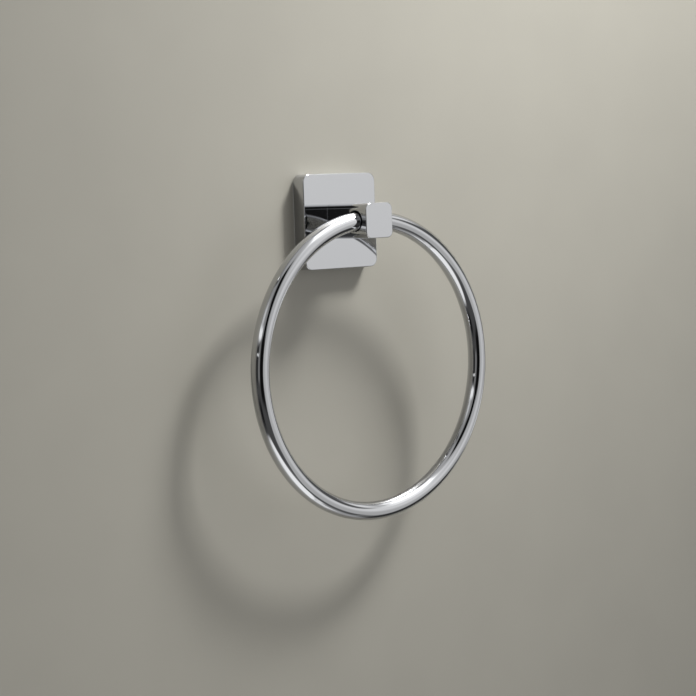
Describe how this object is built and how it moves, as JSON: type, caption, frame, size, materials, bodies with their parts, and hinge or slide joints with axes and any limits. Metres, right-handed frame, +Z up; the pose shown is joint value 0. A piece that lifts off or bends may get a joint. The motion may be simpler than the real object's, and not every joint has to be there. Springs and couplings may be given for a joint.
{
  "type": "towel ring",
  "caption": "Wall-mounted towel ring: a round bar hoop that swings in a square post on a square rounded cover, hooked on a hidden wall bracket.",
  "frame": {"origin": "centre of the two wall screws, on the wall face, behind the centre of the cover", "axes": "+Y into the wall, +Z up, X across; the post stands out along -Y and the hoop hangs down towards -Z"},
  "size_m": [0.168, 0.04, 0.1887],
  "materials": {
    "chrome_casting": "chrome plate over a polished zinc casting",
    "chrome_bar": "chrome plate over polished steel bar",
    "zinc_plated_steel": "zinc plate over pressed steel strip",
    "steel_hardware": "plain stainless steel, turned and pressed"
  },
  "bodies": {
    "base": {"wall_bracket": "zinc_plated_steel", "rosette": "chrome_casting", "post": "chrome_casting", "post_washer": "steel_hardware", "post_screw": "steel_hardware", "grub_screw": "steel_hardware"},
    "hoop": {"ring": "chrome_bar"}
  },
  "joints": [
    {"name": "ring_swing", "type": "hinge", "parent": "base", "child": "hoop", "pos_m": [0, -0.031, 0], "axis": [-1, 0, 0], "range_deg": [-9.4, 189.4]}
  ]
}
